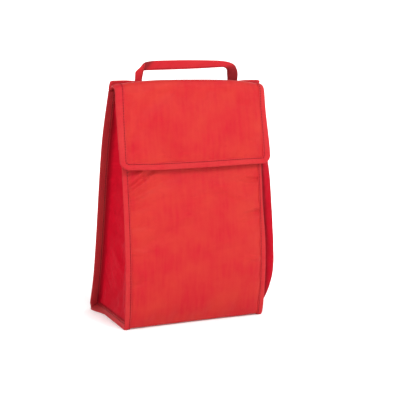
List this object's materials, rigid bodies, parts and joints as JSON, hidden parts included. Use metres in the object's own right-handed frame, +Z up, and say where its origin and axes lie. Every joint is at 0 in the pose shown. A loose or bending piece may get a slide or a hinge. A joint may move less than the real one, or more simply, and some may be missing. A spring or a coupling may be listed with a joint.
{
  "type": "insulated lunch cooler bag",
  "caption": "Tapered insulated fabric bag standing on a flat base, with a fold-over front flap, taped seams, a foil-lined cavity and a flat strap handle at the ridge.",
  "frame": {"origin": "centre of the flat base, on the surface the bag stands on", "axes": "+Z up, +X to the right when facing the flap, +Y towards the sloping back; the flap faces -Y"},
  "size_m": [0.2, 0.1303, 0.3295],
  "materials": {
    "shell_cloth": "fine plain-weave coated polyester, bright red, slight sheen",
    "seam_tape": "folded binding tape, red, ribbed edge",
    "webbing": "flat folded strap, red, edge-stitched",
    "thread": "red sewing thread",
    "foam": "closed-cell polyethylene foam, white",
    "foil_lining": "crinkled aluminised plastic film, silver",
    "hook_and_loop": "woven hook-and-loop tape, red pile"
  },
  "bodies": {
    "bag": {"cloth_front": "shell_cloth", "cloth_back": "shell_cloth", "cloth_base": "shell_cloth", "cloth_gusset_left": "shell_cloth", "cloth_gusset_right": "shell_cloth", "foam_front": "foam", "foam_back": "foam", "foam_base": "foam", "foam_gusset_left": "foam", "foam_gusset_right": "foam", "foil_front": "foil_lining", "foil_back": "foil_lining", "foil_base": "foil_lining", "foil_gusset_left": "foil_lining", "foil_gusset_right": "foil_lining", "tape_front_left": "seam_tape", "tape_front_right": "seam_tape", "tape_back_left": "seam_tape", "tape_back_right": "seam_tape", "tape_base_left": "seam_tape", "tape_base_right": "seam_tape", "tape_mouth_left": "seam_tape", "tape_mouth_right": "seam_tape", "tape_mouth_front": "seam_tape", "tape_ridge": "seam_tape", "handle_tab_left": "webbing", "handle_tab_right": "webbing", "handle_stitch_left": "thread", "handle_stitch_right": "thread", "loop_tape": "hook_and_loop"},
    "flap_bridge": {"bridge_cloth": "shell_cloth", "bridge_foam": "foam", "bridge_foil": "foil_lining", "bridge_tape_left": "seam_tape", "bridge_tape_right": "seam_tape"},
    "flap": {"flap_cloth": "shell_cloth", "flap_foam": "foam", "flap_foil": "foil_lining", "flap_tape": "seam_tape", "hook_tape": "hook_and_loop"},
    "handle": {"handle_strap": "webbing"}
  },
  "joints": [
    {"name": "flap_lift", "type": "hinge", "parent": "bag", "child": "flap_bridge", "pos_m": [0, -0.0386, 0.3005], "axis": [-1, 0, 0], "range_deg": [0, 100]},
    {"name": "flap_unfold", "type": "hinge", "parent": "flap_bridge", "child": "flap", "pos_m": [0, -0.0505, 0.296], "axis": [-1, 0, 0], "range_deg": [0, 58]},
    {"name": "handle_fold", "type": "hinge", "parent": "bag", "child": "handle", "pos_m": [0, -0.0246, 0.2935], "axis": [-1, 0, 0], "range_deg": [0, 110]}
  ],
  "couplings": [
    {"joint": "flap_unfold", "follows": "flap_lift", "ratio": 0.58}
  ]
}
